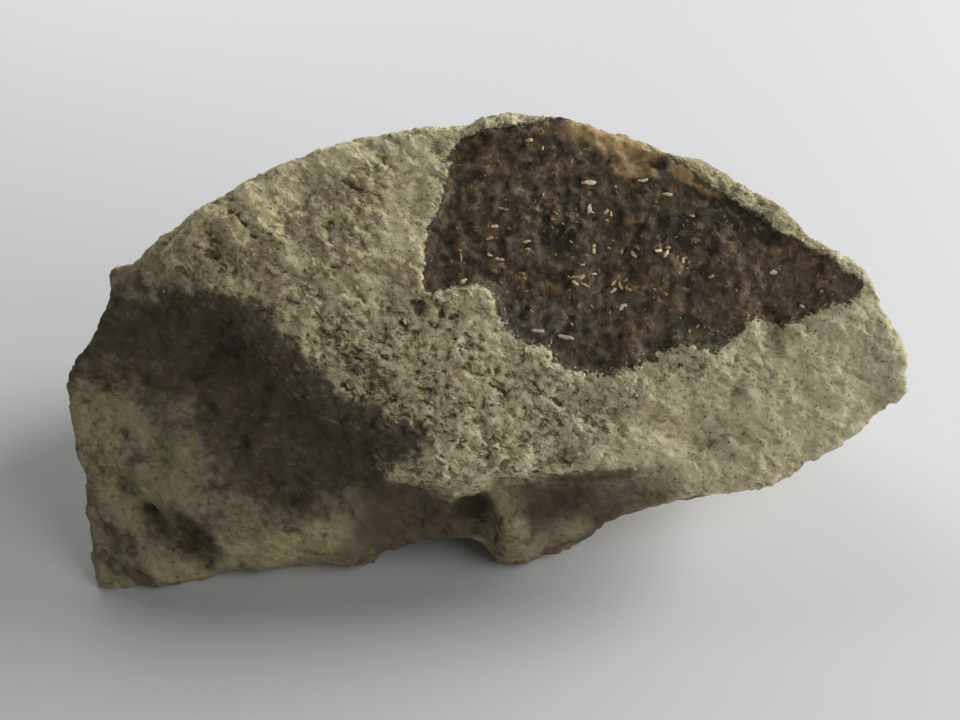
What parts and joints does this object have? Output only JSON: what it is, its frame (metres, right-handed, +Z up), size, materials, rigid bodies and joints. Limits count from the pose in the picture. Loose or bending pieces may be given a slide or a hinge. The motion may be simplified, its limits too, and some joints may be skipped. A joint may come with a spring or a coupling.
{
  "type": "stromatolite",
  "caption": "Rough lump of grey-green layered stone with a broad leaning broken face that carries a dark sunken film; lies on flat spots of its foot.",
  "frame": {"origin": "Middle of the bounding box, at the height of the surface that the stone lies on.", "axes": "+X along the stone to its pointed right end, +Y to its back, +Z up. The broad broken face looks towards -Y and up."},
  "size_m": [0.125, 0.065, 0.0546],
  "materials": {
    "stone": "rough broken stone with a dark brown film"
  },
  "bodies": {
    "root": {"stromatolite": "stone"}
  },
  "joints": []
}
